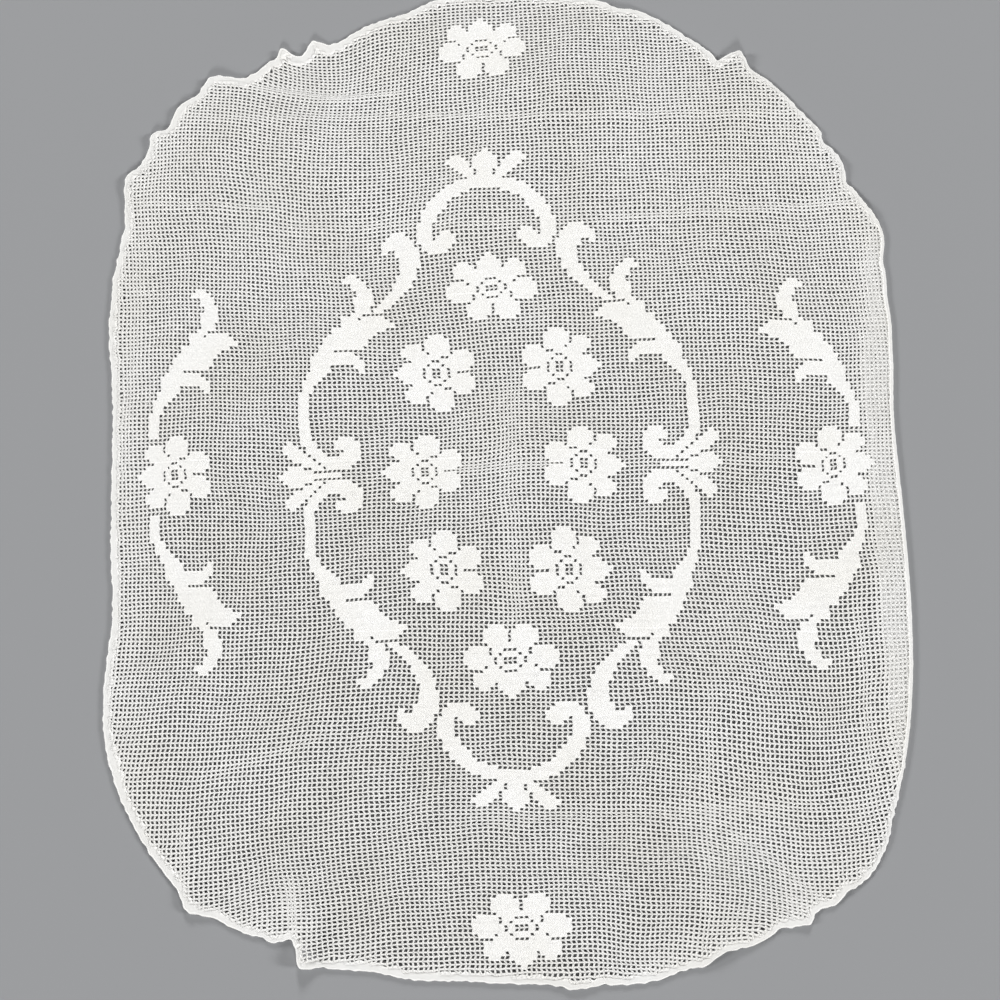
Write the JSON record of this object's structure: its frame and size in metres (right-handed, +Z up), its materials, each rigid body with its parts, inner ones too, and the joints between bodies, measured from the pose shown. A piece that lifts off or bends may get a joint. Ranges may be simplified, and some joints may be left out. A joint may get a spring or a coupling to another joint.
{
  "type": "crochet tablecloth",
  "caption": "Rounded oblong filet-crochet tablecloth in white cotton, laid flat, with solid flowers inside a scroll and leaf frame on an open net and a narrow turned hem.",
  "frame": {"origin": "middle of the cloth's outline, on the surface that it lies on", "axes": "+X across the cloth to the side with the turned-under strip, +Y along its length, +Z up"},
  "size_m": [0.8842, 1.1126, 0.0092],
  "materials": {
    "cotton_thread": "matt white crochet cotton with a soft fibre sheen"
  },
  "bodies": {
    "root": {"cloth": "cotton_thread"}
  },
  "joints": []
}
